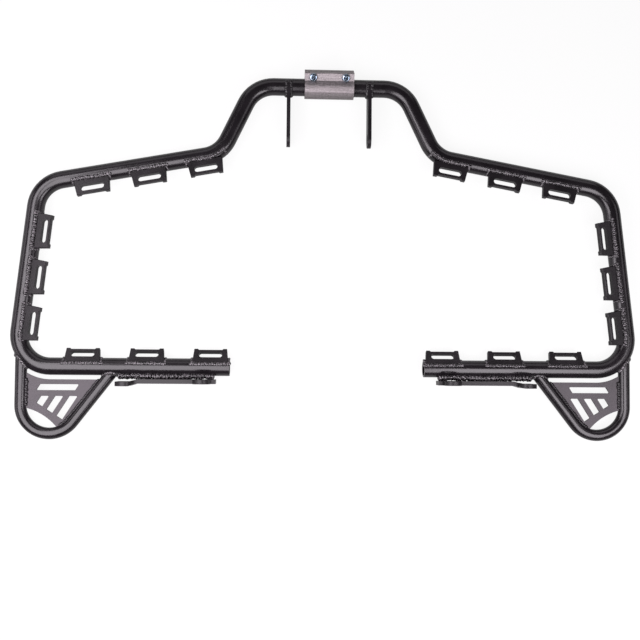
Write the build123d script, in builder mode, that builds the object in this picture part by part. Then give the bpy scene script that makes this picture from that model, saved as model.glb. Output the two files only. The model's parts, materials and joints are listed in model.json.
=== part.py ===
from build123d import *
import os
from math import atan2, cos, hypot, radians, sin, sqrt, tan

# Pair of tubular side step bars for a quad bike, joined at the front by a split clamp.
# +X is to the right, +Y to the front where the clamp is, +Z up. The origin is on the floor,
# below the middle of the whole set. All sizes are in millimetres.

# Main tubes: outline of the right half, measured from the middle of the cross run's axis
rail_od = 19.05
rail_wall = 2.0
bend_radius = 34.0
halves_gap = 1.5
cross_corner_x = 83.0
shoulder_x = 119.5
shoulder_drop = 76.0
top_corner_x = 317.5
top_corner_drop = 112.5
bottom_corner_x = 339.5
bottom_rail_drop = 312.5
rail_end_x = 107.0

# Loop tubes under the outer corners
loop_od = 12.7
loop_wall = 1.6
loop_bend_radius = 31.3
loop_leg_x = 332.8
loop_foot_x = 230.0
loop_diagonal_angle = 52.4

# Small gap that the weld fills between a piece and the tube that it is coped to
weld_gap = 0.15

# Gusset plates in the loops
gusset_thickness = 3.0
gusset_top_gap = 4.7
gusset_leg_drop = 44.0
gusset_edge_mid_x = 309.8
gusset_edge_mid_drop = 52.0
gusset_edge_end_angle = 22.0
window_top_drop = 19.5
window_height = 6.5
window_start_x = 270.0
window_length = 42.0
slash_count = 3
slash_start_x = 271.4
slash_top_drop = 32.3
slash_pitch = 15.25
slash_width = 7.5
slash_angle = 57.6
slash_first_length = 25.5
slash_length_step = 8.25
cutout_corner_radius = 0.8

# Webbing tabs: thick slotted plates, welded at a tilt to the upper inner side of the rails
tab_thickness = 5.6
tab_length = 16.8
tab_free_width = 35.8
tab_base_width = 39.2
tab_edge_chamfer = 0.6
tab_slot_length = 25.5
tab_slot_width = 6.4
tab_slot_reach = 9.6
tab_recess_depth = 1.2
tab_recess_width = 25.4
tab_recess_flare = 1.2
tab_seam_angle = 57.0
tabs_per_rail = 3
top_tab_first = 18.5
top_tab_pitch = 62.5
top_tab_slope = -8.0
side_tab_first = 52.4
side_tab_pitch = 50.4
side_tab_slope = -12.0
bottom_tab_first = 73.2
bottom_tab_pitch = 69.2
bottom_tab_slope = 25.0

# Front mount tabs: flat bar on edge with a full round end
front_tab_x = 45.0
front_tab_thickness = 4.0
front_tab_width = 20.0
front_tab_hole_drop = 57.3
front_tab_hole = 10.5
front_tab_horn = 2.5

# Lower mount brackets: plate on edge along the bottom rail, with two ears
bracket_thickness = 4.76
bracket_standoff = 3.8
bracket_start_x = 122.0
bracket_inner_ear_x = 136.5
bracket_outer_ear_x = 219.0
bracket_ear_radius = 9.5
bracket_ear_height = 19.0
bracket_hole = 9.0
bracket_waist_height = 14.0
bracket_skirt = 5.0
bracket_waist_fillet = 6.0
bracket_joggle = 2.5
bracket_joggle_run = 8.0
bracket_joggle_from_ear = 13.0

# Centre clamp: split extrusion, turned about the cross run so that its flange points up and forward
clamp_length = 54.6
clamp_wall = 2.9
clamp_clearance = 0.1
clamp_flange_reach = 18.3
clamp_flange_thickness = 16.0
clamp_slit = 1.6
clamp_turn = 30.0
clamp_edge_radius = 0.8

# Clamp screws
screw_spacing = 36.0
screw_reach = 13.7
screw_diameter = 5.0
screw_clearance_hole = 5.5
screw_thread_gap = 0.05
screw_head_diameter = 8.8
screw_seat_diameter = 9.6
screw_head_height = 3.2
screw_end_inset = 1.0
screw_dome_radius = 1.6
recess_width = 1.3
recess_span = 5.2
recess_depth = 1.8
recess_taper = 12.0

# Weld beads
tab_bead_radius = 2.5
tab_bead_overrun = 1.2
collar_size = 1.9
bracket_bead_radius = 4.4
bracket_bead_height = 3.0
gusset_bead_radius = 1.7
gusset_bead_height = 2.0
gusset_bead_reach = 6.4

# Worked out from the sizes above
rail_r = rail_od / 2
loop_r = loop_od / 2
clamp_r = rail_r + clamp_clearance + clamp_wall
turn_y = cos(radians(clamp_turn))
turn_z = sin(radians(clamp_turn))
flange_half = clamp_flange_thickness / 2

loop_vertex_drop = bottom_rail_drop + (loop_leg_x - loop_foot_x) * tan(radians(loop_diagonal_angle))
loop_tangent = loop_bend_radius / tan(radians((90 - loop_diagonal_angle) / 2))
loop_centre_x = loop_leg_x - loop_bend_radius
loop_centre_drop = loop_vertex_drop - loop_tangent

flange_corner = (clamp_flange_reach - clamp_edge_radius, flange_half - clamp_edge_radius)
flange_extent = flange_corner[0] * turn_y + flange_corner[1] * turn_z + clamp_edge_radius
front_extent = max(flange_extent, clamp_r)
rear_extent = loop_centre_drop + loop_bend_radius + loop_r
cross_y = (rear_extent - front_extent) / 2
rail_z = max(front_tab_width / 2, clamp_r, rail_r)
bottom_y = cross_y - bottom_rail_drop


def corner(x, drop):
    """Point of the right half's outline in plan."""
    return (x, cross_y - drop)


shoulder = corner(shoulder_x, shoulder_drop)
top_corner = corner(top_corner_x, top_corner_drop)
bottom_corner = corner(bottom_corner_x, bottom_rail_drop)
rail_route = [
    corner(halves_gap / 2, 0),
    corner(cross_corner_x, 0),
    shoulder,
    top_corner,
    bottom_corner,
    corner(rail_end_x, bottom_rail_drop),
]


def corner_centre():
    """Centre of the main tube's bottom corner bend in plan."""
    side_run = hypot(bottom_corner[0] - top_corner[0], bottom_corner[1] - top_corner[1])
    lean = (bottom_corner[0] - top_corner[0]) / side_run
    rise = (top_corner[1] - bottom_corner[1]) / side_run
    centre_x = bottom_corner[0] - bend_radius * (1 + lean) / rise
    return centre_x, bottom_y + bend_radius


# The leg starts on the axis of the main tube's corner bend
bend_x, bend_y = corner_centre()
leg_top_y = bend_y - sqrt(max(bend_radius**2 - (loop_leg_x - bend_x) ** 2, 0))
loop_route = [
    (loop_leg_x, leg_top_y),
    corner(loop_leg_x, loop_vertex_drop),
    corner(loop_foot_x, bottom_rail_drop),
]
mid_plane = Plane.XY.offset(rail_z)


def start_plane(points):
    """Plane across a route's start: its x points to the right of travel, its y points down."""
    (x0, y0), (x1, y1) = points[0], points[1]
    run = hypot(x1 - x0, y1 - y0)
    ahead = ((x1 - x0) / run, (y1 - y0) / run)
    return Plane(origin=(x0, y0, rail_z), x_dir=(ahead[1], -ahead[0], 0), z_dir=(ahead[0], ahead[1], 0))


def swept(points, bend, outer, inner=0.0, offset=(0.0, 0.0)):
    """Round bar, or tube with a bore, along a route of straight runs and tangent arcs."""
    with BuildPart() as bar:
        with BuildLine(mid_plane) as route:
            FilletPolyline(*points, radius=bend)
        with BuildSketch(start_plane(points)):
            with Locations(offset):
                Circle(outer)
                if inner > 0:
                    Circle(inner, mode=Mode.SUBTRACT)
        sweep(path=route.wire())
    return bar.part


rail_envelope = swept(rail_route, bend_radius, rail_r + weld_gap)
rail_solid = swept(rail_route, bend_radius, rail_r)
loop_envelope = swept(loop_route, loop_bend_radius, loop_r + weld_gap)
loop_solid = swept(loop_route, loop_bend_radius, loop_r)

right_pieces = {}

# Main tube
with BuildPart() as main_tube:
    add(swept(rail_route, bend_radius, rail_r, rail_r - rail_wall))
right_pieces["main_tube"] = main_tube.part

# Loop tube, coped to the main tube at both ends
with BuildPart() as loop_tube:
    add(swept(loop_route, loop_bend_radius, loop_r, loop_r - loop_wall))
    add(rail_envelope, mode=Mode.SUBTRACT)
    loop_body = loop_tube.solids().sort_by(SortBy.VOLUME)[-1]
    add(loop_body, mode=Mode.INTERSECT)
right_pieces["loop_tube"] = loop_tube.part


# Gusset plate: its outline runs on the loop's axis, and the loop's tube is then cut away
gusset_top_y = bottom_y - rail_r - gusset_top_gap
top_arc_radius = bend_y - gusset_top_y
top_arc_end = (loop_leg_x, bend_y - sqrt(top_arc_radius**2 - (loop_leg_x - bend_x) ** 2))
arc_half = atan2(top_arc_end[0] - bend_x, bend_y - top_arc_end[1]) / 2
top_arc_mid = (bend_x + top_arc_radius * sin(arc_half), bend_y - top_arc_radius * cos(arc_half))
diagonal_slope = tan(radians(loop_diagonal_angle))
gusset_tip = (loop_foot_x + (bottom_y - gusset_top_y) / diagonal_slope, gusset_top_y)
loop_centre_y = cross_y - loop_centre_drop


def on_loop_bend(angle):
    """Point of the loop's axis, by its angle from straight down towards the diagonal."""
    return (
        loop_centre_x - loop_bend_radius * sin(radians(angle)),
        loop_centre_y - loop_bend_radius * cos(radians(angle)),
    )


edge_end = on_loop_bend(gusset_edge_end_angle)
bend_end = on_loop_bend(loop_diagonal_angle)
bend_between = on_loop_bend((gusset_edge_end_angle + loop_diagonal_angle) / 2)
edge_start = (loop_leg_x, bottom_y - gusset_leg_drop)
edge_mid = (gusset_edge_mid_x, bottom_y - gusset_edge_mid_drop)


def slash_outline(index):
    """Corners of one slanted cut-out, shorter towards the leg."""
    slant = (cos(radians(slash_angle)), -sin(radians(slash_angle)))
    across = slash_width / sin(radians(slash_angle))
    x0 = slash_start_x + index * slash_pitch
    y0 = bottom_y - slash_top_drop
    length = slash_first_length - index * slash_length_step
    far = (x0 + across + length * slant[0], y0 + length * slant[1])
    near = (far[0] + slash_width * slant[1], far[1] - slash_width * slant[0])
    return [(x0, y0), (x0 + across, y0), far, near]


window_y = bottom_y - window_top_drop
window_lean = window_height / tan(radians(slash_angle))
window_outline = [
    (window_start_x, window_y),
    (window_start_x + window_length, window_y),
    (window_start_x + window_length + window_lean, window_y - window_height),
    (window_start_x + window_lean, window_y - window_height),
]

with BuildSketch(mid_plane) as gusset_outline:
    with BuildLine():
        Line(gusset_tip, (bend_x, gusset_top_y))
        ThreePointArc((bend_x, gusset_top_y), top_arc_mid, top_arc_end)
        Line(top_arc_end, edge_start)
        ThreePointArc(edge_start, edge_mid, edge_end)
        ThreePointArc(edge_end, bend_between, bend_end)
        Line(bend_end, gusset_tip)
    make_face()

with BuildPart() as gusset_plate:
    extrude(gusset_outline.sketch, amount=gusset_thickness / 2, both=True)
    with BuildSketch(mid_plane) as cutouts:
        for slash in range(slash_count):
            Polygon(*slash_outline(slash), align=None)
        Polygon(*window_outline, align=None)
        fillet(cutouts.vertices(), radius=cutout_corner_radius)
    extrude(amount=gusset_thickness, both=True, mode=Mode.SUBTRACT)
    add(loop_envelope, mode=Mode.SUBTRACT)
right_pieces["gusset_plate"] = gusset_plate.part

# Weld beads along the gusset plate's edges, on both faces, in the corner with the loop tube
with BuildPart() as gusset_welds:
    for face in (-1, 1):
        add(
            swept(
                loop_route,
                loop_bend_radius,
                gusset_bead_radius,
                offset=(gusset_bead_reach, face * gusset_bead_height),
            )
        )
    extrude(gusset_outline.sketch, amount=loop_od, both=True, mode=Mode.INTERSECT)
    add(loop_solid, mode=Mode.SUBTRACT)
    add(gusset_plate.part, mode=Mode.SUBTRACT)
right_pieces["gusset_welds"] = gusset_welds.part


# Webbing tabs: each top face starts at the seam on the rail's upper flank
seam_reach = rail_r * cos(radians(tab_seam_angle))
seam_height = rail_r * sin(radians(tab_seam_angle))


def rail_place(start, end, distance):
    """Level plane on a rail's axis: x along the rail, y to the inside, z up."""
    run = hypot(end[0] - start[0], end[1] - start[1])
    ahead = ((end[0] - start[0]) / run, (end[1] - start[1]) / run)
    spot = (start[0] + ahead[0] * distance, start[1] + ahead[1] * distance, rail_z)
    return Plane(origin=spot, x_dir=(-ahead[0], -ahead[1], 0), z_dir=(0, 0, 1))


def webbing_tab(place, slope):
    """One slotted plate, coped to the rail, its free edge recessed between two ears."""
    seam = place.origin + place.y_dir * seam_reach + place.z_dir * seam_height
    normal = place.y_dir * sin(radians(slope)) + place.z_dir * cos(radians(slope))
    face = Plane(origin=seam, x_dir=place.x_dir, z_dir=normal)
    recess_half = tab_recess_width / 2
    with BuildPart() as tab:
        with BuildSketch(face):
            Polygon(
                (-tab_base_width / 2, 0),
                (tab_base_width / 2, 0),
                (tab_free_width / 2, tab_length),
                (recess_half + tab_recess_flare, tab_length),
                (recess_half, tab_length - tab_recess_depth),
                (-recess_half, tab_length - tab_recess_depth),
                (-recess_half - tab_recess_flare, tab_length),
                (-tab_free_width / 2, tab_length),
                align=None,
            )
        extrude(amount=-tab_thickness)
        rim = tab.faces().sort_by(Axis(seam, normal))[-1].edges().sort_by(Axis(seam, face.y_dir))
        chamfer(rim[1:], length=tab_edge_chamfer)
        with BuildSketch(face):
            with Locations((0, tab_slot_reach)):
                SlotOverall(tab_slot_length, tab_slot_width)
        extrude(amount=-tab_thickness, mode=Mode.SUBTRACT)
        add(rail_envelope, mode=Mode.SUBTRACT)
        outer_piece = tab.solids().sort_by(SortBy.VOLUME)[-1]
        add(outer_piece, mode=Mode.INTERSECT)
    return tab.part


seam_bead = swept(rail_route, bend_radius, tab_bead_radius, offset=(seam_reach, -seam_height))
rail_end = corner(rail_end_x, bottom_rail_drop)
rails = {
    "top": (shoulder, top_corner, top_tab_first, top_tab_pitch, top_tab_slope),
    "side": (top_corner, bottom_corner, side_tab_first, side_tab_pitch, side_tab_slope),
    "bottom": (bottom_corner, rail_end, bottom_tab_first, bottom_tab_pitch, bottom_tab_slope),
}
for rail_name, (rail_start, rail_stop, first, pitch, slope) in rails.items():
    places = [
        rail_place(rail_start, rail_stop, first + number * pitch) for number in range(tabs_per_rail)
    ]
    rail_tabs = [webbing_tab(place, slope) for place in places]
    for number, tab_part in enumerate(rail_tabs, start=1):
        right_pieces[f"webbing_tab_{rail_name}_{number}"] = tab_part
    with BuildPart() as tab_welds:
        for place in places:
            with BuildSketch(place):
                Rectangle(tab_base_width + 2 * tab_bead_overrun, 2 * rail_od)
            extrude(amount=2 * rail_od, both=True)
        add(seam_bead, mode=Mode.INTERSECT)
        add(rail_solid, mode=Mode.SUBTRACT)
        add(rail_tabs, mode=Mode.SUBTRACT)
        bead_bodies = tab_welds.solids().sort_by(SortBy.VOLUME)[-tabs_per_rail:]
        add(bead_bodies, mode=Mode.INTERSECT)
    right_pieces[f"tab_welds_{rail_name}"] = tab_welds.part

# Front mount tab
with BuildPart() as front_tab:
    with BuildSketch(Plane.YZ.offset(front_tab_x)):
        with Locations((cross_y - (front_tab_hole_drop - front_tab_horn) / 2, rail_z)):
            Rectangle(front_tab_hole_drop + front_tab_horn, front_tab_width)
        with Locations((cross_y - front_tab_hole_drop, rail_z)):
            Circle(front_tab_width / 2)
            Circle(front_tab_hole / 2, mode=Mode.SUBTRACT)
    extrude(amount=front_tab_thickness / 2, both=True)
    add(rail_envelope, mode=Mode.SUBTRACT)
right_pieces["front_mount_tab"] = front_tab.part

# Weld collar of the front mount tab
with BuildPart() as front_weld:
    with BuildSketch(Plane.YZ.offset(front_tab_x)):
        with Locations((cross_y, rail_z)):
            Circle(rail_r + collar_size)
            Circle(rail_r, mode=Mode.SUBTRACT)
        with Locations((cross_y + rail_od / 2 + front_tab_horn + collar_size, rail_z)):
            Rectangle(rail_od, 2 * rail_od, mode=Mode.SUBTRACT)
    extrude(amount=front_tab_thickness / 2 + collar_size, both=True)
    weld_edges = front_weld.edges().filter_by(GeomType.CIRCLE).sort_by(SortBy.RADIUS)[-2:]
    chamfer(weld_edges, length=collar_size * 0.6)
    add(front_tab.part, mode=Mode.SUBTRACT)
right_pieces["front_tab_weld"] = front_weld.part

# Lower mount bracket
bracket_face_y = bottom_y - rail_r - bracket_standoff
bracket_back_y = bracket_face_y - bracket_thickness
bracket_end_x = bracket_outer_ear_x + bracket_ear_radius
joggle_x = bracket_outer_ear_x - bracket_joggle_from_ear
ear_z = rail_z + bracket_ear_height
with BuildPart() as lower_bracket:
    with BuildSketch(Plane.XY):
        Polygon(
            (bracket_start_x, bracket_face_y),
            (joggle_x, bracket_face_y),
            (joggle_x + bracket_joggle_run, bracket_face_y - bracket_joggle),
            (bracket_end_x, bracket_face_y - bracket_joggle),
            (bracket_end_x, bracket_back_y - bracket_joggle),
            (joggle_x + bracket_joggle_run, bracket_back_y - bracket_joggle),
            (joggle_x, bracket_back_y),
            (bracket_start_x, bracket_back_y),
            align=None,
        )
    extrude(amount=ear_z + bracket_ear_radius)
    with BuildSketch(Plane.XZ.offset(-bottom_y)) as bracket_outline:
        waist_low = rail_z - bracket_skirt
        waist_top = rail_z + bracket_waist_height
        with BuildLine():
            Polyline(
                (bracket_start_x, waist_low),
                (bracket_end_x, waist_low),
                (bracket_end_x, waist_top),
                (bracket_start_x, waist_top),
                close=True,
            )
        make_face()
        for ear_x in (bracket_inner_ear_x, bracket_outer_ear_x):
            with Locations((ear_x, (waist_low + ear_z) / 2)):
                Rectangle(2 * bracket_ear_radius, ear_z - waist_low)
            with Locations((ear_x, ear_z)):
                Circle(bracket_ear_radius)
        waist_corners = bracket_outline.vertices().filter_by(
            lambda v: abs(v.Z - waist_top) < 0.01
            and bracket_inner_ear_x < v.X < bracket_outer_ear_x
        )
        fillet(waist_corners, radius=bracket_waist_fillet)
        with Locations((bracket_inner_ear_x, ear_z), (bracket_outer_ear_x, ear_z)):
            Circle(bracket_hole / 2, mode=Mode.SUBTRACT)
    extrude(amount=rail_od * 2, both=True, mode=Mode.INTERSECT)
    add(rail_envelope, mode=Mode.SUBTRACT)
right_pieces["lower_bracket"] = lower_bracket.part

# Weld bead in the valley between the bottom rail and the lower bracket
bead_y = bracket_face_y + bracket_standoff / 2
with BuildPart() as bracket_weld:
    with BuildSketch(Plane.YZ.offset(bracket_start_x + collar_size)):
        with Locations((bead_y, rail_z + bracket_bead_height)):
            Circle(bracket_bead_radius)
    extrude(amount=bracket_end_x - bracket_start_x - 2 * collar_size)
    add(rail_solid, mode=Mode.SUBTRACT)
    add(lower_bracket.part, mode=Mode.SUBTRACT)
    bead_body = bracket_weld.solids().sort_by(Axis.Z)[-1]
    add(bead_body, mode=Mode.INTERSECT)
right_pieces["bracket_weld"] = bracket_weld.part

# Weld collars where the loop's two ends meet the main tube
collar_rail = swept(rail_route, bend_radius, rail_r + collar_size)
collar_loop = swept(loop_route, loop_bend_radius, loop_r + collar_size)
with BuildPart() as loop_welds:
    add(collar_loop)
    add(collar_rail, mode=Mode.INTERSECT)
    add(rail_solid, mode=Mode.SUBTRACT)
    add(loop_solid, mode=Mode.SUBTRACT)
right_pieces["loop_welds"] = loop_welds.part

# Centre clamp: its section is drawn with x along the flange and y across it
clamp_section = Plane(origin=(0, cross_y, rail_z), x_dir=(0, turn_y, turn_z), z_dir=(1, 0, 0))
with BuildPart() as centre_clamp:
    with BuildSketch(clamp_section) as clamp_outline:
        Circle(clamp_r)
        with Locations((clamp_flange_reach / 2, 0)):
            Rectangle(clamp_flange_reach, clamp_flange_thickness)
        fillet(clamp_outline.vertices().group_by(Axis.Y)[-1], radius=clamp_edge_radius)
        fillet(clamp_outline.vertices().group_by(Axis.Z)[-1], radius=clamp_edge_radius)
        Circle(rail_r + clamp_clearance, mode=Mode.SUBTRACT)
        with Locations((clamp_flange_reach, 0)):
            Rectangle(2 * clamp_flange_reach, clamp_slit, mode=Mode.SUBTRACT)
    extrude(amount=clamp_length / 2, both=True)
    flange_top = clamp_section.origin + clamp_section.y_dir * flange_half
    flange_face = Plane(origin=flange_top, x_dir=(1, 0, 0), z_dir=clamp_section.y_dir)
    screw_row = [(side * screw_spacing / 2, screw_reach) for side in (-1, 1)]
    with BuildSketch(flange_face):
        with Locations(*screw_row):
            Circle(screw_seat_diameter / 2)
    extrude(amount=clamp_r, mode=Mode.SUBTRACT)
    with BuildSketch(flange_face):
        with Locations(*screw_row):
            Circle(screw_clearance_hole / 2)
    extrude(amount=-flange_half, mode=Mode.SUBTRACT)
    with BuildSketch(flange_face):
        with Locations(*screw_row):
            Circle(screw_diameter / 2 + screw_thread_gap)
    extrude(amount=-clamp_flange_thickness, mode=Mode.SUBTRACT)

# Clamp screws: pan heads with a cross recess
with BuildPart() as clamp_screws:
    with BuildSketch(flange_face):
        with Locations(*screw_row):
            Circle(screw_head_diameter / 2)
    extrude(amount=screw_head_height)
    head_edges = clamp_screws.edges().filter_by(GeomType.CIRCLE)
    head_rims = head_edges.sort_by(Axis(flange_top, flange_face.z_dir))[-2:]
    fillet(head_rims, radius=screw_dome_radius)
    with BuildSketch(flange_face):
        with Locations(*screw_row):
            Circle(screw_diameter / 2)
    extrude(amount=-(clamp_flange_thickness - screw_end_inset))
    head_top = flange_top + flange_face.z_dir * screw_head_height
    with BuildSketch(Plane(origin=head_top, x_dir=(1, 0, 0), z_dir=flange_face.z_dir)):
        with Locations(*screw_row):
            Rectangle(recess_span, recess_width)
            Rectangle(recess_width, recess_span)
    extrude(amount=-recess_depth, taper=recess_taper, mode=Mode.SUBTRACT)


def write_node(piece, label):
    """Label a finished piece and write it as a node of its own."""
    with BuildPart() as node:
        add(piece)
    node.part.label = label
    export_step(node.part, f"parts/{label}.step")


os.makedirs("parts", exist_ok=True)
write_node(centre_clamp.part, "centre_clamp")
write_node(clamp_screws.part, "clamp_screws")
for label, piece in right_pieces.items():
    write_node(piece, f"{label}_right")
    write_node(mirror(piece, about=Plane.YZ), f"{label}_left")
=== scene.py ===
"""Looks of a pair of tubular side step bars for a quad bike, lying flat and seen from above.

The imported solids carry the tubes, plates, tabs, clamp and screws. This script gives them their
finishes, lays rippled weld beads where the solids have plain strips, and sets up floor, light
and camera.
"""

import json
import logging
from dataclasses import dataclass, field
from enum import Enum, IntEnum
from functools import cached_property
from math import asin, cos, pi, radians, sin, sqrt, tan
from random import Random

import bmesh
import bpy
from mathutils import Euler, Matrix, Vector


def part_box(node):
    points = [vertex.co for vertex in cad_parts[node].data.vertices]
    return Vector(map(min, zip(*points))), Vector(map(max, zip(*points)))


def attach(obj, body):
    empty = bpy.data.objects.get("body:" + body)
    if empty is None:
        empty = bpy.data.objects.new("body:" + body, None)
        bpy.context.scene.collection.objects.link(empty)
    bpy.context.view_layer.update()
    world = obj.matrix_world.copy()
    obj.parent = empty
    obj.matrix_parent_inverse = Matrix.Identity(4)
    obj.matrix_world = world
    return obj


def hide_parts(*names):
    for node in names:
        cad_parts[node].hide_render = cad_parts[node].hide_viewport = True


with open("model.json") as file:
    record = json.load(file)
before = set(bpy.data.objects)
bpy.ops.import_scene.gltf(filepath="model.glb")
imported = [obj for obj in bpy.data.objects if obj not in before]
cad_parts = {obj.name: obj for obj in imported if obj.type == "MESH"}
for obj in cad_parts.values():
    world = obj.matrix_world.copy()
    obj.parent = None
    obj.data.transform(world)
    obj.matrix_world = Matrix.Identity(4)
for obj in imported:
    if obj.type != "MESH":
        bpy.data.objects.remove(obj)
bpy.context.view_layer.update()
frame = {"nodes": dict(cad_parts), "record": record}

logging.basicConfig(level=logging.INFO, format="%(message)s")
LOG = logging.getLogger("step_bars")

MM = 0.001
TINY = 1e-9
BODY = "root"
UP = Vector((0.0, 0.0, 1.0))
WHITE = (1.0, 1.0, 1.0, 1.0)

Pair = tuple[float, float]
Triple = tuple[float, float, float]

# Where most of a noise's values lie.
MIDDLE: Pair = (0.35, 0.65)

# Place of the Object output among those of the Texture Coordinate node.
OBJECT_COORDINATES = 3

# Added to a bead's seed on the left half, so that the halves' ripples differ.
LEFT_SEED = 7


class Side(Enum):
    """The two mirrored halves of the set."""

    LEFT = "left"
    RIGHT = "right"

    @property
    def sign(self) -> int:
        """Direction of this half along X."""
        return 1 if self is Side.RIGHT else -1


class Rail(IntEnum):
    """Runs of the route that carry webbing tabs, by the run's first corner."""

    TOP = 2
    SIDE = 3
    BOTTOM = 4


class Finish(Enum):
    """Finishes by the record's material slots, and one more for the dark flat tabs."""

    COAT = "powder_coat"
    GUSSET = "coated_plate"
    TAB = "coated_tab"
    WELD = "coated_weld"
    ALUMINIUM = "bare_aluminium"
    ZINC = "zinc_plate"


class LightPath(IntEnum):
    """Outputs of the Light Path node that the studio uses, by their place."""

    CAMERA = 0
    GLOSSY = 3
    TRANSMISSION = 6


class MixSocket(IntEnum):
    """Sockets of the Mix node when it mixes colours, by their place."""

    FACTOR = 0
    FIRST = 6
    SECOND = 7
    RESULT = 2


# Shader maths


class Sock:
    """A shader socket that can be used in Python expressions."""

    def __init__(self, graph: "Graph", socket: bpy.types.NodeSocket) -> None:
        """Wrap one output socket of a graph."""
        self.graph = graph
        self.socket = socket

    def _math(self, operation: str, other: object) -> "Sock":
        """Add a Math node with this socket as its first value.

        Args:
            operation: the Math node's operation.
            other: its second value, a number or a Sock.

        Returns:
            The node's result.
        """
        return self.graph.node("ShaderNodeMath", {"operation": operation}, {0: self, 1: other})[0]

    def __add__(self, other: object) -> "Sock":
        """Sum of this socket and another value."""
        return self._math("ADD", other)

    def __mul__(self, other: object) -> "Sock":
        """Product of this socket and another value."""
        return self._math("MULTIPLY", other)

    def clamped(self) -> "Sock":
        """This value, held between 0 and 1."""
        return self.graph.node("ShaderNodeClamp", {}, {"Value": self})[0]


class Graph:
    """Node tree of one material or world, filled through one method."""

    def __init__(self, owner: bpy.types.ID, output: str) -> None:
        """Empty the node tree of a material or world.

        Args:
            owner: the material or world.
            output: type of its output node.
        """
        owner.use_nodes = True
        self.owner = owner
        self.tree = owner.node_tree
        self.tree.nodes.clear()
        self.output = self.tree.nodes.new(output)

    @classmethod
    def of_material(cls, name: str) -> "Graph":
        """Make a material and its graph.

        Args:
            name: the material's name.

        Returns:
            The empty graph.
        """
        return cls(bpy.data.materials.new(name), "ShaderNodeOutputMaterial")

    @classmethod
    def of_world(cls, name: str) -> "Graph":
        """Make a world and its graph.

        Args:
            name: the world's name.

        Returns:
            The empty graph.
        """
        return cls(bpy.data.worlds.new(name), "ShaderNodeOutputWorld")

    def node(self, kind: str, settings: dict, values: dict) -> list[Sock]:
        """Add a node.

        Args:
            kind: node type.
            settings: properties, set first.
            values: socket name or index to a number, tuple or Sock.

        Returns:
            Its outputs as Socks, in order.
        """
        node = self.tree.nodes.new(kind)
        for key, value in settings.items():
            setattr(node, key, value)
        for key, value in values.items():
            if isinstance(value, Sock):
                self.tree.links.new(value.socket, node.inputs[key])
            else:
                node.inputs[key].default_value = value
        return [Sock(self, socket) for socket in node.outputs]

    def position(self) -> Sock:
        """Object coordinates of the shaded point, in metres."""
        return self.node("ShaderNodeTexCoord", {}, {})[OBJECT_COORDINATES]

    def noise(self, where: Sock, scale: float, detail: float, rough: float) -> Sock:
        """Fractal noise.

        Args:
            where: coordinates.
            scale: features per metre.
            detail: octaves.
            rough: how much the fine octaves count.

        Returns:
            Value from 0 to 1.
        """
        return self.node(
            "ShaderNodeTexNoise",
            {},
            {"Vector": where, "Scale": scale, "Detail": detail, "Roughness": rough},
        )[0]

    def stretched(self, where: Sock, factors: Triple) -> Sock:
        """Scale coordinates.

        Args:
            where: coordinates.
            factors: scale along X, Y and Z.

        Returns:
            New coordinates.
        """
        return self.node("ShaderNodeMapping", {}, {"Vector": where, "Scale": factors})[0]

    def remap(self, value: Sock, span: Pair, target: Pair = (0.0, 1.0)) -> Sock:
        """Map a range of values to another, held at its ends.

        Args:
            value: what to map.
            span: lowest and highest value that count.
            target: what they become.

        Returns:
            The mapped value.
        """
        return self.node(
            "ShaderNodeMapRange",
            {"clamp": True},
            {
                "Value": value,
                "From Min": span[0],
                "From Max": span[1],
                "To Min": target[0],
                "To Max": target[1],
            },
        )[0]

    def mix(self, factor: Sock, first: Triple, second: Triple) -> Sock:
        """Mix two colours.

        Args:
            factor: 0 for the first colour, 1 for the second.
            first: a colour.
            second: another colour.

        Returns:
            The mixed colour.
        """
        node = self.node(
            "ShaderNodeMix",
            {"data_type": "RGBA"},
            {MixSocket.FACTOR: factor, MixSocket.FIRST: (*first, 1.0), MixSocket.SECOND: (*second, 1.0)},
        )
        return node[MixSocket.RESULT]

    def bump(self, height: Sock, strength: float, distance: float) -> Sock:
        """Normal from a height.

        Args:
            height: height from 0 to 1.
            strength: how much of it counts.
            distance: height of 1, in metres.

        Returns:
            The normal.
        """
        values = {"Height": height, "Strength": strength, "Distance": distance}
        return self.node("ShaderNodeBump", {}, values)[0]

    def surface(self, values: dict) -> bpy.types.Material:
        """Finish the material with a Principled shader.

        Args:
            values: the shader's sockets.

        Returns:
            The material.
        """
        return self.finish(self.node("ShaderNodeBsdfPrincipled", {}, values)[0])

    def finish(self, shader: Sock) -> bpy.types.ID:
        """Join a shader to the output.

        Args:
            shader: the whole look.

        Returns:
            The material or world.
        """
        self.tree.links.new(shader.socket, self.output.inputs["Surface"])
        return self.owner


# Finishes


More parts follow.
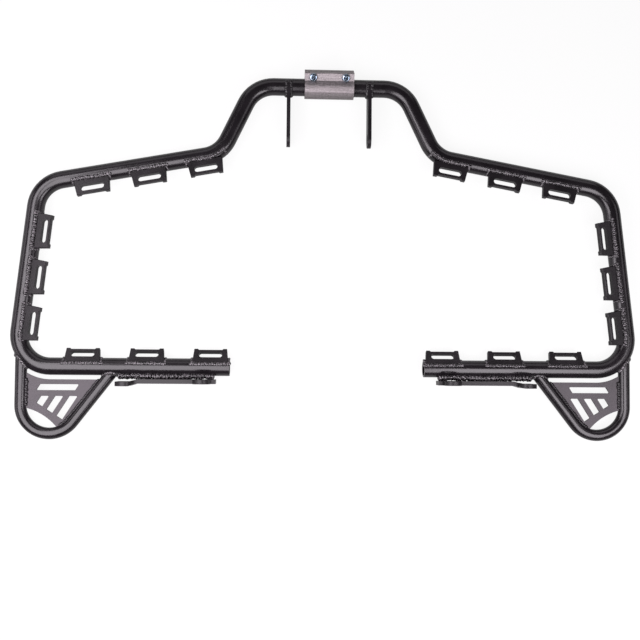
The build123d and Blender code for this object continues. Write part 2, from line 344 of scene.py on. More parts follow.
@dataclass(frozen=True)
class PowderCoat:
    """Satin black powder coat: faint orange peel and a soft cloudy sheen.

    Attributes:
        name: name of the material.
        dark: colour where the clouds are darkest.
        light: colour where they are lightest.
        roughness: of the smoothest and the roughest spots.
        cloud_scale: clouds per metre.
        cloud_share: how much the clouds count in the roughness; the peel has the rest.
        peel_scale: dimples of the orange peel per metre.
        peel_height: their depth.
        peel_strength: how much the light sees of them.
        gloss: strength of the coat's reflections.
    """

    name: str = "satin_black_coat"
    dark: Triple = (0.0050, 0.0040, 0.0050)
    light: Triple = (0.0105, 0.0085, 0.0105)
    roughness: Pair = (0.20, 0.26)
    cloud_scale: float = 38.0
    cloud_share: float = 0.7
    peel_scale: float = 900.0
    peel_height: float = 0.02 * MM
    peel_strength: float = 0.14
    gloss: float = 0.5

    def build(self) -> bpy.types.Material:
        """Make the material.

        Returns:
            The material.
        """
        graph = Graph.of_material(self.name)
        where = graph.position()
        clouds = graph.noise(where, self.cloud_scale, 4.0, 0.55)
        fine = graph.noise(where, self.peel_scale, 2.0, 0.5)
        blend = clouds * self.cloud_share + fine * (1.0 - self.cloud_share)
        return graph.surface(
            {
                "Base Color": graph.mix(graph.remap(clouds, MIDDLE), self.dark, self.light),
                "Roughness": graph.remap(blend, MIDDLE, self.roughness),
                "Normal": graph.bump(fine, self.peel_strength, self.peel_height),
                "Specular IOR Level": self.gloss,
            }
        )


@dataclass(frozen=True)
class CoatedWeld:
    """Glossy coat over rippled weld: black, with grey specks painted into the colour at random as glints
    of the lamps.

    Attributes:
        name: name of the material.
        dark: colour of the coat between the painted glint specks.
        glint_grey: grey of the painted glint specks.
        roughness: of the smoothest and the roughest spots.
        grain_scale: painted glint specks per metre.
        glint_span: where in the noise a painted glint speck starts, and where it is fully grey.
        dent_scale: dents per metre.
        dent_height: their depth.
        dent_strength: how much the light sees of them.
        coat_weight: share of the clear gloss on top.
    """

    name: str = "coat_over_weld_painted_glints"
    dark: Triple = (0.0045, 0.0038, 0.0045)
    glint_grey: Triple = (0.120, 0.108, 0.118)
    roughness: Pair = (0.14, 0.26)
    grain_scale: float = 760.0
    glint_span: Pair = (0.51, 0.62)
    dent_scale: float = 456.0
    dent_height: float = 0.35 * MM
    dent_strength: float = 0.8
    coat_weight: float = 0.4

    def build(self) -> bpy.types.Material:
        """Make the material.

        Returns:
            The material.
        """
        graph = Graph.of_material(self.name)
        where = graph.position()
        grain = graph.noise(where, self.grain_scale, 2.0, 0.5)
        dents = graph.noise(where, self.dent_scale, 2.0, 0.6)
        # Grey specks painted at random into the base colour stand in for glints of the lamps on the
        # weld.
        painted_glint_mask = graph.remap(grain, self.glint_span)
        return graph.surface(
            {
                "Base Color": graph.mix(painted_glint_mask, self.dark, self.glint_grey),
                "Roughness": graph.remap(dents, MIDDLE, self.roughness),
                "Normal": graph.bump(dents, self.dent_strength, self.dent_height),
                "Coat Weight": self.coat_weight,
            }
        )


@dataclass(frozen=True)
class MillAluminium:
    """Bare extruded aluminium with fine lines along its length and small handling marks.

    Attributes:
        name: name of the material.
        bright: colour of the brightest spots.
        dull: colour of the dullest ones.
        roughness: of the smoothest and the roughest spots.
        line_scale: extrusion lines per metre.
        band_scale: broad bands of lines per metre.
        line_stretch: scale along X, which draws the lines out.
        mark_scale: marks per metre.
        shares: how much lines, bands and marks count in the colour.
        contrast: where in their sum the colour is dullest and brightest.
        relief_strength: how much the light sees of the relief.
        relief_height: its depth.
    """

    name: str = "mill_finish_aluminium"
    bright: Triple = (0.40, 0.37, 0.375)
    dull: Triple = (0.17, 0.155, 0.158)
    roughness: Pair = (0.50, 0.62)
    line_scale: float = 2600.0
    band_scale: float = 390.0
    line_stretch: float = 0.02
    mark_scale: float = 900.0
    shares: Triple = (0.3, 0.2, 0.5)
    contrast: Pair = (0.40, 0.60)
    relief_strength: float = 0.5
    relief_height: float = 0.06 * MM

    def build(self) -> bpy.types.Material:
        """Make the material.

        Returns:
            The material.
        """
        graph = Graph.of_material(self.name)
        where = graph.position()
        along = graph.stretched(where, (self.line_stretch, 1.0, 1.0))
        lines = graph.noise(along, self.line_scale, 3.0, 0.6)
        bands = graph.noise(along, self.band_scale, 2.0, 0.5)
        marks = graph.noise(where, self.mark_scale, 3.0, 0.65)
        tone = lines * self.shares[0] + bands * self.shares[1] + marks * self.shares[2]
        return graph.surface(
            {
                "Base Color": graph.mix(graph.remap(tone, self.contrast), self.dull, self.bright),
                "Metallic": 1.0,
                "Roughness": graph.remap(marks, MIDDLE, self.roughness),
                "Normal": graph.bump(
                    lines * 0.5 + marks * 0.5, self.relief_strength, self.relief_height
                ),
            }
        )


@dataclass(frozen=True)
class ZincPlate:
    """Bright zinc plate, slightly blue, with a fine grain.

    Attributes:
        name: name of the material.
        bright: colour of the brightest clouds.
        dull: colour of the dullest ones.
        roughness: of the smoothest and the roughest grains.
        cloud_scale: clouds per metre.
        grain_scale: grains per metre.
        grain_span: where in the noise the smoothest and roughest grains lie.
        grain_strength: how much the light sees of the grains.
        grain_height: their height.
    """

    name: str = "bright_zinc_plate"
    bright: Triple = (0.36, 0.44, 0.52)
    dull: Triple = (0.16, 0.21, 0.27)
    roughness: Pair = (0.10, 0.20)
    cloud_scale: float = 300.0
    grain_scale: float = 1400.0
    grain_span: Pair = (0.3, 0.7)
    grain_strength: float = 0.2
    grain_height: float = 0.03 * MM

    def build(self) -> bpy.types.Material:
        """Make the material.

        Returns:
            The material.
        """
        graph = Graph.of_material(self.name)
        where = graph.position()
        grain = graph.noise(where, self.grain_scale, 3.0, 0.6)
        cloud = graph.noise(where, self.cloud_scale, 2.0, 0.5)
        return graph.surface(
            {
                "Base Color": graph.mix(graph.remap(cloud, MIDDLE), self.dull, self.bright),
                "Metallic": 1.0,
                "Roughness": graph.remap(grain, self.grain_span, self.roughness),
                "Normal": graph.bump(grain, self.grain_strength, self.grain_height),
            }
        )


def finishes() -> dict[Finish, bpy.types.Material]:
    """Make every finish once.

    Returns:
        The material of each slot of the record.
    """
    return {
        Finish.COAT: PowderCoat().build(),
        Finish.TAB: PowderCoat(
            "coat_on_tab",
            dark=(0.006, 0.005, 0.006),
            light=(0.012, 0.010, 0.012),
            roughness=(0.34, 0.44),
            gloss=0.30,
        ).build(),
        # The gusset gets the same black coat with a base colour several times lighter: a painted sheen
        # that stands in for the overhead lamps mirrored in the flat plate.
        Finish.GUSSET: PowderCoat(
            "coat_on_gusset_painted_sheen",
            dark=(0.044, 0.039, 0.043),
            light=(0.060, 0.053, 0.059),
            roughness=(0.44, 0.54),
            gloss=0.30,
        ).build(),
        Finish.WELD: CoatedWeld().build(),
        Finish.ALUMINIUM: MillAluminium().build(),
        Finish.ZINC: ZincPlate().build(),
    }


# Places and sizes


@dataclass(frozen=True)
class BarSizes:
    """Driving sizes of the tubes, in metres, as the solids have them.

    Attributes:
        rail_radius: of the main tube, outside.
        bend_radius: of its bends, to the axis.
        bottom_rail_drop: from the cross run's axis to the bottom rail's.
        cross_corner_x: corner at the end of the cross run.
        shoulder: corner between slope and top rail, as x and drop below the cross run.
        top_corner: corner between top rail and side rail.
        bottom_corner: corner between side rail and bottom rail.
        rail_end_x: inner end of the bottom rail.
        loop_radius: of the loop tube, outside.
        loop_bend_radius: of its round bend, to the axis.
        loop_leg_x: axis of its leg.
        loop_foot_x: where its diagonal's axis meets the bottom rail's.
        loop_diagonal: slope of the diagonal.
    """

    rail_radius: float = 9.525 * MM
    bend_radius: float = 34.0 * MM
    bottom_rail_drop: float = 312.5 * MM
    cross_corner_x: float = 83.0 * MM
    shoulder: Pair = (119.5 * MM, 76.0 * MM)
    top_corner: Pair = (317.5 * MM, 112.5 * MM)
    bottom_corner: Pair = (339.5 * MM, 312.5 * MM)
    rail_end_x: float = 107.0 * MM
    loop_radius: float = 6.35 * MM
    loop_bend_radius: float = 31.3 * MM
    loop_leg_x: float = 332.8 * MM
    loop_foot_x: float = 230.0 * MM
    loop_diagonal: float = radians(52.4)

    @cached_property
    def rail_z(self) -> float:
        """Height of the tubes' axes, which the front tabs are centred on."""
        low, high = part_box("front_mount_tab_right")
        return (low[2] + high[2]) / 2

    @cached_property
    def bottom_y(self) -> float:
        """Y of the bottom rail's axis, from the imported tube's lower edge."""
        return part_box("main_tube_right")[0][1] + self.rail_radius

    @cached_property
    def cross_y(self) -> float:
        """Y of the cross run's axis."""
        return self.bottom_y + self.bottom_rail_drop

    @cached_property
    def route(self) -> list[Vector]:
        """Corners of the right half's axis, from the middle of the cross run to the rail's end."""
        spots = [
            (0.0, 0.0),
            (self.cross_corner_x, 0.0),
            self.shoulder,
            self.top_corner,
            self.bottom_corner,
            (self.rail_end_x, self.bottom_rail_drop),
        ]
        return [self.point(spot) for spot in spots]

    def beside(self, run: int, distance: float) -> tuple[Vector, Vector]:
        """Point on the tube's axis beside a straight run, round the bends at its ends too.

        Args:
            run: which run of the route, by its first corner.
            distance: along the run, from that corner.

        Returns:
            The point and the way to the inside of the set.
        """
        route = self.route
        start, stop = route[run], route[run + 1]
        length = (stop - start).length
        ahead = (stop - start) / length
        inward = Vector((ahead.y, -ahead.x, 0.0))
        point = start + ahead * distance
        facing = inward
        for corner, gap, way in ((run, distance, -1.0), (run + 1, length - distance, 1.0)):
            if not 0 < corner < len(route) - 1:
                continue
            arriving = (route[corner] - route[corner - 1]).to_2d().normalized()
            leaving = (route[corner + 1] - route[corner]).to_2d().normalized()
            turn = arriving.angle_signed(leaving)
            past = self.bend_radius * tan(abs(turn) / 2) - gap
            if past > 0.0:
                side = 1.0 if turn > 0.0 else -1.0
                angle = asin(past / self.bend_radius)
                point = point + inward * side * self.bend_radius * (1 - cos(angle))
                facing = inward * cos(angle) - ahead * way * side * sin(angle)
        return point, facing

    def point(self, spot: Pair) -> Vector:
        """Turn (x, drop below the cross run) into a point on the tubes' level.

        Args:
            spot: x and drop, in metres.

        Returns:
            The point.
        """
        return Vector((spot[0], self.cross_y - spot[1], self.rail_z))

    @cached_property
    def corner_centre(self) -> Vector:
        """Centre of the bend between side rail and bottom rail."""
        top, bottom = self.point(self.top_corner), self.point(self.bottom_corner)
        run = (bottom - top).to_2d().length
        lean = (bottom.x - top.x) / run
        rise = (top.y - bottom.y) / run
        x = bottom.x - self.bend_radius * (1 + lean) / rise
        return Vector((x, self.bottom_y + self.bend_radius, self.rail_z))

    @cached_property
    def loop_centre(self) -> Vector:
        """Centre of the loop tube's round bend."""
        x = self.loop_leg_x - self.loop_bend_radius
        drop = (self.loop_leg_x - self.loop_foot_x) * tan(self.loop_diagonal)
        tangent = self.loop_bend_radius / tan((pi / 2 - self.loop_diagonal) / 2)
        return Vector((x, self.bottom_y - drop + tangent, self.rail_z))

    @cached_property
    def loop_foot(self) -> Vector:
        """Where the diagonal's axis meets the bottom rail's."""
        return Vector((self.loop_foot_x, self.bottom_y, self.rail_z))

    @cached_property
    def diagonal_down(self) -> Vector:
        """The way down the diagonal."""
        return Vector((cos(self.loop_diagonal), -sin(self.loop_diagonal), 0.0))

    @cached_property
    def diagonal_inner(self) -> Vector:
        """The way from the diagonal to the inside of the loop."""
        return Vector((sin(self.loop_diagonal), cos(self.loop_diagonal), 0.0))


SIZES = BarSizes()


# Weld beads


@dataclass(frozen=True)
class Station:
    """One place on a bead: its middle, the way the bead runs and the way it bulges."""

    middle: Vector
    along: Vector
    out: Vector

    def mirrored(self, sign: int) -> "Station":
        """This place on one half of the set.

        Args:
            sign: 1 for the right half, -1 for the left.

        Returns:
            The place, mirrored where that half is the left one.
        """
        flip = Vector((sign, 1.0, 1.0))
        return Station(self.middle * flip, self.along * flip, self.out * flip)


@dataclass(frozen=True)
class BeadShape:
    """How large and how uneven the scales of a weld bead are.

    Attributes:
        half_width: from the bead's middle to its edge.
        height: how far it bulges.
        pitch: from scale to scale.
        wander: how far a scale strays to either side.
        uneven: by what share scales differ in size.
        stretch: half a scale's length, as a share of the pitch.
        slide: how far a scale strays along the bead, as a share of the pitch.
        lean_along: how far scales lean over along the bead, least and most.
        lean_across: how far they lean to either side.
        segments: corners round a scale and rings from its end to its end.
    """

    half_width: float
    height: float
    pitch: float = 1.5 * MM
    wander: float = 0.18 * MM
    uneven: float = 0.14
    stretch: float = 0.92
    slide: float = 0.2
    lean_along: Pair = (-0.15, 0.85)
    lean_across: float = 0.2
    segments: tuple[int, int] = (12, 7)


@dataclass
class RippledBead:
    """Weld bead made of overlapping scales, each a little different."""

    shape: BeadShape
    seed: int
    stations: list[Station] = field(default_factory=list)

    def run(self, places: list[tuple[Vector, Vector]]) -> "RippledBead":
        """Lay stations one pitch apart along a line of points.

        Args:
            places: each point of the line, close enough together to look smooth, and the way the
                bead bulges there.

        Returns:
            This bead.
        """
        left_over = 0.0
        for (start, out_start), (stop, out_stop) in zip(places, places[1:]):
            length = (stop - start).length
            if length < TINY:
                continue
            along = (stop - start) / length
            place = left_over
            while place < length:
                share = place / length
                out = out_start.lerp(out_stop, share).normalized()
                self.stations.append(Station(start.lerp(stop, share), along, out))
                place += self.shape.pitch
            left_over = place - length
        return self

    def mesh(self, name: str, sign: int) -> bpy.types.Mesh:
        """Build the scales.

        Args:
            name: the mesh's name.
            sign: 1 for the right half, -1 for the left.

        Returns:
            One mesh of closed, overlapping scales.
        """
        rng = Random(self.seed + (LEFT_SEED if sign < 0 else 0))
        scales = bmesh.new()
        for station in self.stations:
            bmesh.ops.create_uvsphere(
                scales,
                u_segments=self.shape.segments[0],
                v_segments=self.shape.segments[1],
                radius=1.0,
                matrix=self.scale_axes(station.mirrored(sign), rng),
            )
        bmesh.ops.recalc_face_normals(scales, faces=scales.faces)
        for face in scales.faces:
            face.smooth = True
        mesh = bpy.data.meshes.new(name)
        scales.to_mesh(mesh)
        scales.free()
        return mesh

    def scale_axes(self, station: Station, rng: Random) -> Matrix:
        """Size, lean and place of one scale.

        Args:
            station: where it lies.
            rng: what makes it differ from the others.

        Returns:
            The matrix that makes it out of a ball of radius 1.
        """
        shape = self.shape
        along = station.along.normalized()
        across = station.out.cross(along).normalized()
        out = along.cross(across).normalized()
        size = 1.0 + rng.uniform(-shape.uneven, shape.uneven)
        aside = across * rng.uniform(-shape.wander, shape.wander)
        onward = along * rng.uniform(-shape.slide, shape.slide) * shape.pitch
        forward = along * rng.uniform(*shape.lean_along)
        sideways = across * rng.uniform(-shape.lean_across, shape.lean_across)
        lean = (out + forward + sideways).normalized()
        columns = (
            (*(along * shape.pitch * shape.stretch), 0.0),
            (*(across * shape.half_width * size), 0.0),
            (*(lean * shape.height * size), 0.0),
            (*(station.middle + aside + onward), 1.0),
        )
        return Matrix(columns).transposed()


@dataclass
class WeldPiece:
    """A weld of one half of the set, laid in place of a plain strip of the solids."""

    node: str
    beads: list[RippledBead] = field(default_factory=list)

    def place(self, side: Side, material: bpy.types.Material) -> bpy.types.Object:
        """Make the piece for one half.

        Args:
            side: which half.
            material: its finish.

        Returns:
            The new object, riding with the frame.
        """
        name = f"{self.node}_beads_{side.value}"
        whole = bmesh.new()
        for bead in self.beads:
            part = bead.mesh(name, side.sign)
            whole.from_mesh(part)
            bpy.data.meshes.remove(part)
        mesh = bpy.data.meshes.new(name)
        whole.to_mesh(mesh)
        whole.free()
        mesh.materials.append(material)
        piece = bpy.data.objects.new(name, mesh)
        bpy.context.scene.collection.objects.link(piece)
        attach(piece, BODY)
        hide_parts(f"{self.node}_{side.value}")
        LOG.info("%s: %d faces", name, len(mesh.polygons))
        return piece


@dataclass(frozen=True)
class TabRow:
    """Welds of the webbing tabs on one rail.

    Attributes:
        node: node of the solids that the row stands for, without its side.
        rail: which rail.
        first: from the rail's first corner to the middle of the first tab.
        pitch: from tab to tab.
        end_angle: where round the tube the beads at a tab's ends stop, from the inner side up.
        seam_angle: where round the tube the long bead lies.
        seam: the long bead's shape.
        end: the end beads' shape.
        count: how many tabs.
        base_width: width of a tab at the tube.
        overrun: how far the long bead runs past the tab at each end.
        end_inset: from the long bead's end to the middle of an end bead.
        end_seed: makes the end beads differ from the long one.
        steps: points along a bead.
    """

    node: str
    rail: Rail
    first: float
    pitch: float
    end_angle: float
    seam_angle: float = radians(66.0)
    seam: BeadShape = BeadShape(2.3 * MM, 1.6 * MM, pitch=2.0 * MM, wander=0.3 * MM, uneven=0.2)
    end: BeadShape = BeadShape(1.5 * MM, 1.2 * MM)
    count: int = 3
    base_width: float = 39.2 * MM
    overrun: float = 1.6 * MM
    end_inset: float = 0.9 * MM
    end_seed: int = 11
    steps: int = 16

    def at(self, distance: float, angle: float) -> tuple[Vector, Vector]:
        """Point on the rail's surface.

        Args:
            distance: along the rail, from its first corner.
            angle: round the tube, from the inner side up.

        Returns:
            The point and the way out of the tube.
        """
        middle, inward = SIZES.beside(self.rail, distance)
        out = inward * cos(angle) + UP * sin(angle)
        return middle + out * SIZES.rail_radius, out

    def weld(self, seed: int) -> WeldPiece:
        """Beads along the seam of each tab, with short returns down its two ends.

        Args:
            seed: makes the ripples of each row differ.

        Returns:
            The weld.
        """
        weld = WeldPiece(self.node)
        half = self.base_width / 2 + self.overrun
        turn = (self.end_angle - self.seam_angle) / self.steps
        for number in range(self.count):
            centre = self.first + number * self.pitch
            line = [
                self.at(centre - half + 2 * half * step / self.steps, self.seam_angle)
                for step in range(self.steps + 1)
            ]
            weld.beads.append(RippledBead(self.seam, seed + number).run(line))
            for shift in (self.end_inset - half, half - self.end_inset):
                arc = [
                    self.at(centre + shift, self.seam_angle + turn * step)
                    for step in range(self.steps + 1)
                ]
                weld.beads.append(RippledBead(self.end, seed + number + self.end_seed).run(arc))
        return weld


@dataclass(frozen=True)
class FrontTabWeld:
    """Rings of weld round the cross run, one on each face of the front mount tab.

    Attributes:
        tab_x: middle of the tab.
        face_offset: from there to the middle of a ring.
        open_angle: half the angle that the rings leave open at the front.
        lean: how far the rings bulge away from the tab.
        ring: the rings' shape.
        close: shape of the two beads that join the rings.
        steps: points round a ring.
    """

    tab_x: float = 45.0 * MM
    face_offset: float = 2.7 * MM
    open_angle: float = radians(64.0)
    lean: float = 0.35
    ring: BeadShape = BeadShape(2.1 * MM, 1.7 * MM, pitch=1.9 * MM, uneven=0.2)
    close: BeadShape = BeadShape(1.9 * MM, 1.6 * MM)
    steps: int = 40

    def at(self, offset: float, out: Vector) -> Vector:
        """Point on the cross run's surface.

        Args:
            offset: from the tab's middle, along X.
            out: the way out of the tube.

        Returns:
            The point.
        """
        return SIZES.point((self.tab_x + offset, 0.0)) + out * SIZES.rail_radius

    def weld(self) -> WeldPiece:
        """Lay both rings, closed across the tab's two horns.

        Returns:
            The weld.
        """
        weld = WeldPiece("front_tab_weld")
        sweep = 2 * pi - 2 * self.open_angle
        for seed, face in ((31, -1), (32, 1)):
            places = []
            for step in range(self.steps + 1):
                angle = self.open_angle + sweep * step / self.steps
                out = Vector((0.0, cos(angle), sin(angle)))
                away = (out + Vector((face * self.lean, 0.0, 0.0))).normalized()
                places.append((self.at(face * self.face_offset, out), away))
            weld.beads.append(RippledBead(self.ring, seed).run(places))
        for seed, turn in ((33, 1), (34, -1)):
            out = Vector((0.0, cos(self.open_angle), turn * sin(self.open_angle)))
            ends = [(self.at(face * self.face_offset, out), out) for face in (-1, 1)]
            weld.beads.append(RippledBead(self.close, seed).run(ends))
        return weld


@dataclass(frozen=True)
class BracketWeld:
    """Heavy bead in the valley between the bottom rail and the lower bracket.

    Attributes:
        start_x: where it starts.
        stop_x: where it ends.
        reach: how far it lies behind the rail's axis.
        rise: how far it lies above it.
        sway: how far it strays to either side, like a hand-made one.
        waves: how often it does so.
        lean: how far it bulges to the rear.
        shape: the bead's shape.
        seed: makes its ripples differ from the others'.
        steps: points along it.
    """

    start_x: float = 125.0 * MM
    stop_x: float = 226.0 * MM
    reach: float = 10.4 * MM
    rise: float = 4.6 * MM
    sway: float = 0.35 * MM
    waves: float = 1.5
    lean: float = 0.35
    shape: BeadShape = BeadShape(
        3.5 * MM, 2.9 * MM, pitch=2.5 * MM, wander=0.35 * MM, uneven=0.16
    )
    seed: int = 41
    steps: int = 16

    def weld(self) -> WeldPiece:
        """Lay the bead.

        Returns:
            The weld.
        """
        out = Vector((0.0, -self.lean, 1.0)).normalized()
        places = []
        for step in range(self.steps + 1):
            share = step / self.steps
            x = self.start_x + (self.stop_x - self.start_x) * share
            y = SIZES.bottom_y - self.reach + self.sway * sin(share * 2 * pi * self.waves)
            places.append((Vector((x, y, SIZES.rail_z + self.rise)), out))
        return WeldPiece("bracket_weld", [RippledBead(self.shape, self.seed).run(places)])


@dataclass(frozen=True)
class LoopWelds:
    """Saddle beads where the loop tube's leg and diagonal meet the main tube.

    Attributes:
        shape: the beads' shape.
        lean: how far they bulge to the rear.
        leg_seed: makes the ripples round the leg differ.
        foot_seed: makes those round the diagonal's foot differ.
        steps: points round a bead.
    """

    shape: BeadShape = BeadShape(2.1 * MM, 1.6 * MM, pitch=1.8 * MM, uneven=0.2)
    lean: float = 0.6
    leg_seed: int = 51
    foot_seed: int = 52
    steps: int = 48

    def leg_point(self, angle: float) -> tuple[Vector, Vector]:
        """Point of the seam round the leg's top.

        Args:
            angle: round the leg, from +X towards +Z.

        Returns:
            The point and the way the bead bulges.
        """
        centre = SIZES.corner_centre
        x = SIZES.loop_leg_x + SIZES.loop_radius * cos(angle)
        rise = SIZES.loop_radius * sin(angle)
        ring = SIZES.bend_radius + sqrt(SIZES.rail_radius**2 - rise**2)
        y = centre.y - sqrt(ring**2 - (x - centre.x) ** 2)
        away = Vector((cos(angle), -self.lean, sin(angle))).normalized()
        return Vector((x, y, SIZES.rail_z + rise)), away

    def foot_point(self, angle: float) -> tuple[Vector, Vector]:
        """Point of the seam round the diagonal's foot.

        Args:
            angle: round the diagonal, from its inner side towards +Z.

        Returns:
            The point and the way the bead bulges.
        """
        inner, down = SIZES.diagonal_inner, SIZES.diagonal_down
        rise = SIZES.loop_radius * sin(angle)
        ring = SIZES.loop_foot + inner * SIZES.loop_radius * cos(angle) + UP * rise
        wanted_y = SIZES.bottom_y - sqrt(SIZES.rail_radius**2 - rise**2)
        point = ring + down * ((wanted_y - ring.y) / down.y)
        away = (inner * cos(angle) + Vector((0.0, -self.lean, sin(angle)))).normalized()
        return point, away

    def weld(self) -> WeldPiece:
        """Lay a closed bead round each end.

        Returns:
            The weld.
        """
        weld = WeldPiece("loop_welds")
        for seed, spot in ((self.leg_seed, self.leg_point), (self.foot_seed, self.foot_point)):
            places = [spot(2 * pi * step / self.steps) for step in range(self.steps + 1)]
            weld.beads.append(RippledBead(self.shape, seed).run(places))
        return weld


@dataclass(frozen=True)
class GussetWelds:
    """Beads on both faces of the gusset plate, in its corner with the loop tube.

    Attributes:
        reach: from the loop tube's axis to a bead.
        rise: from the plate's middle to a bead.
        leg_span: where the leg's bead starts and ends, below the bottom rail's axis.
        foot_start: where the diagonal's bead starts, along it from its foot.
        bend_stop: how far it follows the round bend, as the angle that is left.
        lean: how far the beads bulge away from the tube.
        leg: shape of the leg's bead.
        diagonal: shape of the diagonal's bead.
        leg_seed: makes the ripples of the leg's beads differ.
        diagonal_seed: makes those of the diagonal's beads differ.
        steps: points round the bend.
    """

    reach: float = 6.7 * MM
    rise: float = 2.1 * MM
    leg_span: Pair = (14.5 * MM, 42.5 * MM)
    foot_start: float = 24.0 * MM
    bend_stop: float = radians(25.0)
    lean: float = 0.6
    leg: BeadShape = BeadShape(1.9 * MM, 1.5 * MM, pitch=1.9 * MM, wander=0.4 * MM, uneven=0.26)
    diagonal: BeadShape = BeadShape(1.5 * MM, 1.15 * MM, wander=0.3 * MM, uneven=0.2)
    leg_seed: int = 61
    diagonal_seed: int = 71
    steps: int = 12

    def leg_line(self, face: int) -> list[tuple[Vector, Vector]]:
        """Line of the leg's bead.

        Args:
            face: 1 for the plate's upper face, -1 for the lower.

        Returns:
            Its two ends and the way it bulges there.
        """
        x = SIZES.loop_leg_x - self.reach
        z = SIZES.rail_z + face * self.rise
        away = Vector((-self.lean, 0.0, face)).normalized()
        return [(Vector((x, SIZES.bottom_y - drop, z)), away) for drop in self.leg_span]

    def diagonal_line(self, face: int) -> list[tuple[Vector, Vector]]:
        """Line of the diagonal's bead, which goes on round the bend.

        Args:
            face: 1 for the plate's upper face, -1 for the lower.

        Returns:
            Its points and the way it bulges at each.
        """
        inner = SIZES.diagonal_inner
        lift = UP * face * self.rise
        start = SIZES.loop_foot + SIZES.diagonal_down * self.foot_start + inner * self.reach + lift
        places = [(start, (inner * self.lean + UP * face).normalized())]
        for step in range(self.steps + 1):
            angle = SIZES.loop_diagonal + (self.bend_stop - SIZES.loop_diagonal) * step / self.steps
            ray = Vector((-sin(angle), -cos(angle), 0.0))
            spot = SIZES.loop_centre + ray * (SIZES.loop_bend_radius - self.reach) + lift
            places.append((spot, (UP * face - ray * self.lean).normalized()))
        return places

    def weld(self) -> WeldPiece:
        """Lay the leg's bead and the diagonal's bead on each face.

        Returns:
            The weld.
        """
        weld = WeldPiece("gusset_welds")
        for face in (1, -1):
            weld.beads.append(RippledBead(self.leg, self.leg_seed + face).run(self.leg_line(face)))
            diagonal = RippledBead(self.diagonal, self.diagonal_seed + face)
            weld.beads.append(diagonal.run(self.diagonal_line(face)))
        return weld


# Finish of the solids


@dataclass(frozen=True)
class Solids:
    """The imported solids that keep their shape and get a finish.

    Attributes:
        tab_nodes: how the names of the nodes with the tabs' finish start.
    """

    tab_nodes: tuple[str, ...] = ("webbing_tab", "lower_bracket", "front_mount_tab")

    def dress(self, materials: dict[Finish, bpy.types.Material]) -> None:
        """Give every solid the finish of its slot, or the tabs' own.

        Args:
            materials: the material of each slot.
        """
        for entry in frame["record"]["subparts"]:
            piece = frame["nodes"][entry["node"]]
            is_tab = entry["node"].startswith(self.tab_nodes)
            material = materials[Finish.TAB if is_tab else Finish(entry["material_slot"])]
            if not piece.material_slots:
                piece.data.materials.append(material)
            for place in piece.material_slots:
                place.material = material
            LOG.info("%s: %s", entry["node"], material.name)


# Floor, lamps and camera


@dataclass(frozen=True)
class Softbox:
    """One soft lamp of even brightness, facing down unless it is tilted or leant.

    Attributes:
        name: name of the lamp.
        place: its middle.
        size: its length along X and Y.
        brightness: of its face, where 1 shows as white.
        tilt: turn about X.
        lean: turn about Y.
        colour: colour of its light.
    """

    name: str
    place: Triple
    size: Pair
    brightness: float
    tilt: float = 0.0
    lean: float = 0.0
    colour: Triple = (1.0, 0.94, 1.0)

    def build(self) -> bpy.types.Object:
        """Make the lamp.

        Returns:
            The lamp's object.
        """
        lamp = bpy.data.lights.new(self.name, "AREA")
        lamp.shape = "RECTANGLE"
        lamp.size, lamp.size_y = self.size
        lamp.energy = self.brightness * pi * self.size[0] * self.size[1]
        lamp.color = self.colour
        holder = bpy.data.objects.new(self.name, lamp)
        holder.location = self.place
        holder.visible_camera = False
        holder.rotation_euler = (self.tilt, self.lean, 0.0)
        bpy.context.scene.collection.objects.link(holder)
        return holder


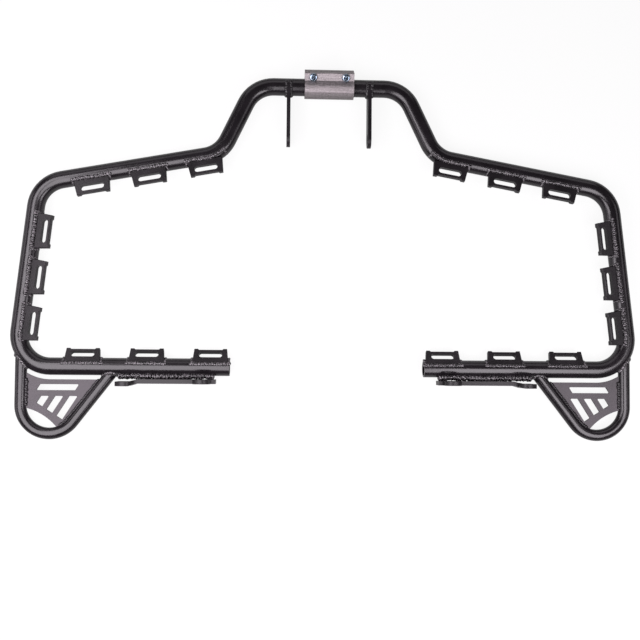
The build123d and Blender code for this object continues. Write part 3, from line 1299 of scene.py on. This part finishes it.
@dataclass(frozen=True)
class Studio:
    """White floor, dim surroundings, three key softboxes overhead and weaker panels round it.

    Attributes:
        floor_size: length of the floor's sides.
        floor_colour: colour of the floor where lamps light it.
        shadow_share: how much of the lit floor, and so of the shadow, the camera sees.
        mirrored_level: brightness of the floor as the coat and the metal mirror it.
        world_colour: colour of the surroundings as light.
        world_level: their brightness as light.
    """

    floor_size: float = 8.0
    floor_colour: Triple = (0.86, 0.86, 0.86)
    shadow_share: float = 0.10
    mirrored_level: float = 0.6
    world_colour: Triple = (1.0, 0.97, 0.985)
    world_level: float = 0.05

    def lamps(self) -> list[Softbox]:
        """Lamps of the studio."""
        return [
            Softbox("outer_left_key", (-0.525, -0.10, 0.543), (0.31, 0.93), 6.3),
            Softbox("inner_left_key", (-0.215, -0.26, 0.543), (0.31, 0.61), 5.8),
            Softbox("right_key", (0.385, -0.414, 0.543), (0.43, 0.62), 6.8),
            Softbox("far_panel", (0.0, 1.5, 0.75), (2.6, 0.9), 0.9, tilt=radians(-65.0)),
            Softbox("right_panel", (1.25, 0.0, 0.85), (0.40, 1.0), 1.4, lean=radians(50.0)),
            Softbox("left_panel", (-1.5, 0.0, 0.42), (0.45, 1.4), 1.8, lean=radians(-70.0)),
        ]

    def floor(self) -> bpy.types.Object:
        """White floor that keeps a faint shadow.

        Returns:
            The floor's object.
        """
        plane = bmesh.new()
        bmesh.ops.create_grid(plane, x_segments=1, y_segments=1, size=self.floor_size / 2)
        mesh = bpy.data.meshes.new("studio_floor")
        plane.to_mesh(mesh)
        plane.free()
        mesh.materials.append(self.floor_material())
        floor = bpy.data.objects.new("studio_floor", mesh)
        bpy.context.scene.collection.objects.link(floor)
        return floor

    def floor_material(self) -> bpy.types.Material:
        """White to the camera, paler to reflections, and lit as paint to all other light.

        Returns:
            The floor's material.
        """
        graph = Graph.of_material("white_floor")
        rays = graph.node("ShaderNodeLightPath", {}, {})
        camera = rays[LightPath.CAMERA]
        mirrored = rays[LightPath.GLOSSY] + rays[LightPath.TRANSMISSION]
        level = (camera + mirrored * self.mirrored_level).clamped()
        seen = (camera + mirrored).clamped() * (1.0 - self.shadow_share)
        lit = graph.node("ShaderNodeBsdfDiffuse", {}, {"Color": (*self.floor_colour, 1.0)})[0]
        white = graph.node("ShaderNodeEmission", {}, {"Color": WHITE, "Strength": level})[0]
        return graph.finish(graph.node("ShaderNodeMixShader", {}, {0: seen, 1: lit, 2: white})[0])

    def surroundings(self) -> None:
        """Pale world, white where the camera sees it."""
        graph = Graph.of_world("studio_world")
        rays = graph.node("ShaderNodeLightPath", {}, {})
        light = {"Color": (*self.world_colour, 1.0), "Strength": self.world_level}
        dim = graph.node("ShaderNodeBackground", {}, light)[0]
        white = graph.node("ShaderNodeBackground", {}, {"Color": WHITE, "Strength": 1.0})[0]
        choice = {0: rays[LightPath.CAMERA], 1: dim, 2: white}
        bpy.context.scene.world = graph.finish(graph.node("ShaderNodeMixShader", {}, choice)[0])

    def build(self) -> None:
        """Set up floor, world and lamps."""
        self.floor()
        self.surroundings()
        for lamp in self.lamps():
            lamp.build()


@dataclass(frozen=True)
class Viewpoint:
    """Camera at the photograph's viewing angle, nearly straight above.

    Attributes:
        offset: its place along X and Y from the middle of the cross run.
        height: its height above the tubes' axes.
        turn: its turns about X, Y and Z.
        lens: focal length, in millimetres.
        sensor: width of the picture in the camera, in millimetres.
    """

    offset: Pair = (-55.3 * MM, -302.0 * MM)
    height: float = 1013.5 * MM
    turn: Triple = (radians(2.401), radians(-2.661), radians(0.538))
    lens: float = 51.68
    sensor: float = 36.0

    def build(self) -> bpy.types.Object:
        """Make the camera and use it.

        Returns:
            The camera's object.
        """
        data = bpy.data.cameras.new("photo_camera")
        data.lens = self.lens
        data.sensor_width = self.sensor
        camera = bpy.data.objects.new("photo_camera", data)
        away = Vector((self.offset[0], self.offset[1], self.height))
        camera.location = SIZES.point((0.0, 0.0)) + away
        camera.rotation_mode = "ZYX"
        camera.rotation_euler = Euler(self.turn, "ZYX")
        bpy.context.scene.collection.objects.link(camera)
        bpy.context.scene.camera = camera
        return camera


# Whole scene


def tab_rows() -> list[TabRow]:
    """Tab welds of the three rails, as the solids place the tabs."""
    return [
        TabRow("tab_welds_top", Rail.TOP, first=18.5 * MM, pitch=62.5 * MM, end_angle=radians(14.0)),
        TabRow(
            "tab_welds_side",
            Rail.SIDE,
            first=52.4 * MM,
            pitch=50.4 * MM,
            end_angle=radians(12.0),
            seam_angle=radians(69.0),
            seam=BeadShape(2.6 * MM, 1.8 * MM, pitch=2.0 * MM, wander=0.3 * MM, uneven=0.2),
        ),
        TabRow(
            "tab_welds_bottom",
            Rail.BOTTOM,
            first=73.2 * MM,
            pitch=69.2 * MM,
            end_angle=0.0,
            seam=BeadShape(2.0 * MM, 1.6 * MM, pitch=2.0 * MM, wander=0.3 * MM, uneven=0.2),
        ),
    ]


def main() -> None:
    """Build the scene in order."""
    bpy.context.scene.view_settings.view_transform = "Standard"
    materials = finishes()
    Solids().dress(materials)
    # Welds that get the weld finish, with its grey specks painted as glints of the lamps.
    glint_painted_welds = [row.weld(seed=100 * number) for number, row in enumerate(tab_rows(), start=1)]
    glint_painted_welds += [BracketWeld().weld(), LoopWelds().weld()]
    plain_welds = [FrontTabWeld().weld(), GussetWelds().weld()]
    for side in Side:
        for weld in glint_painted_welds:
            weld.place(side, materials[Finish.WELD])
        for weld in plain_welds:
            weld.place(side, materials[Finish.COAT])
    Studio().build()
    Viewpoint().build()


if __name__ == "__main__":
    main()
